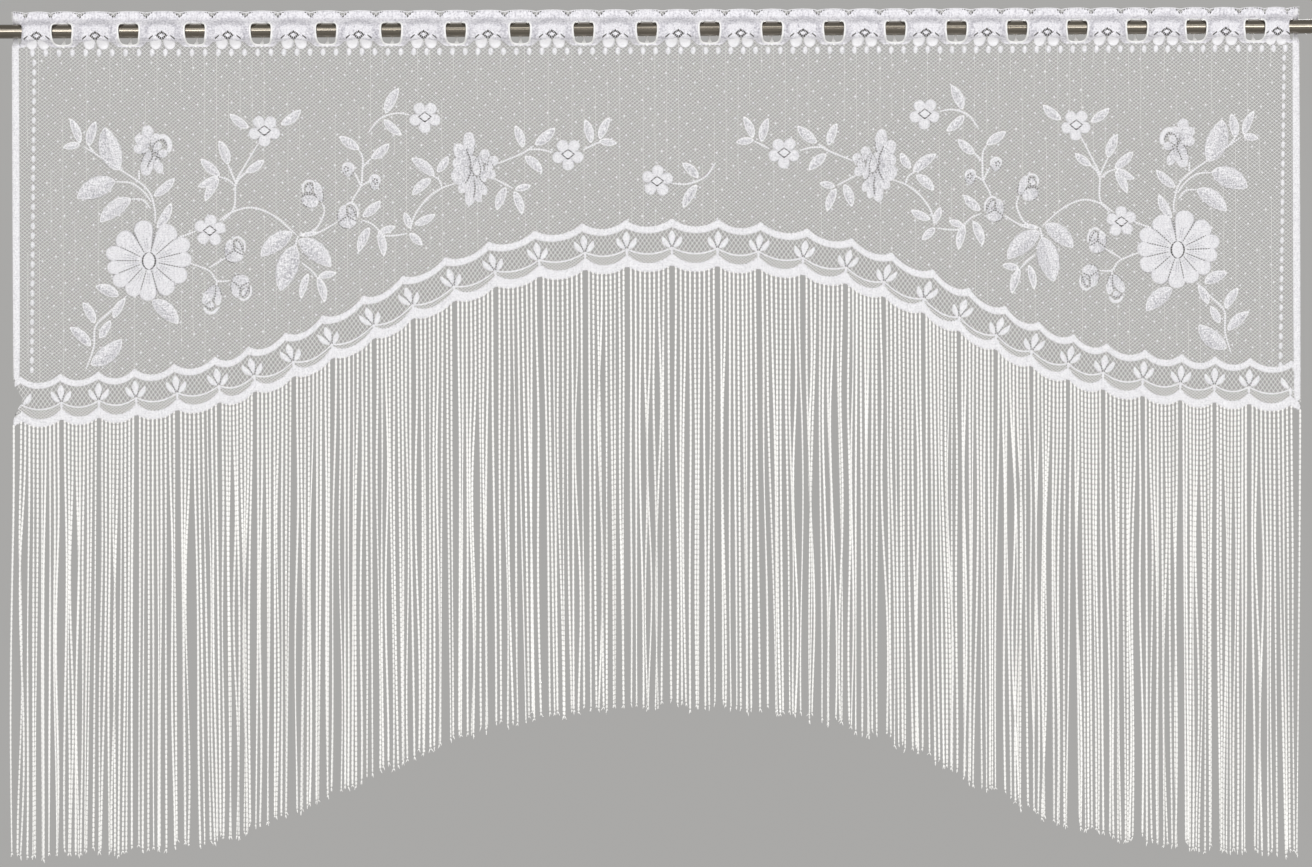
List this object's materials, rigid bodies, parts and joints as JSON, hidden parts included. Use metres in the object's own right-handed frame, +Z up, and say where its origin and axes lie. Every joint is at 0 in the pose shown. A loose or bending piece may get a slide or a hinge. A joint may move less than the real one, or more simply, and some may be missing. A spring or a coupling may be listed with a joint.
{
  "type": "cafe curtain on a rod",
  "caption": "White lace cafe curtain woven onto a slim metal rod, with flower sprays, an arched scalloped border and a long string fringe cut to the same arch.",
  "frame": {"origin": "on the rod's axis, midway between its ends", "axes": "+X along the rod, +Z up, and the face of the curtain looks towards -Y"},
  "size_m": [1.22, 0.0177, 0.7843],
  "materials": {
    "rod_metal": "drawn metal with a warm grey nickel finish",
    "lace": "white knitted lace on a fine net ground",
    "string": "white knitted chain strings"
  },
  "bodies": {
    "root": {"rod": "rod_metal", "lace_panel": "lace", "fringe": "string"}
  },
  "joints": []
}
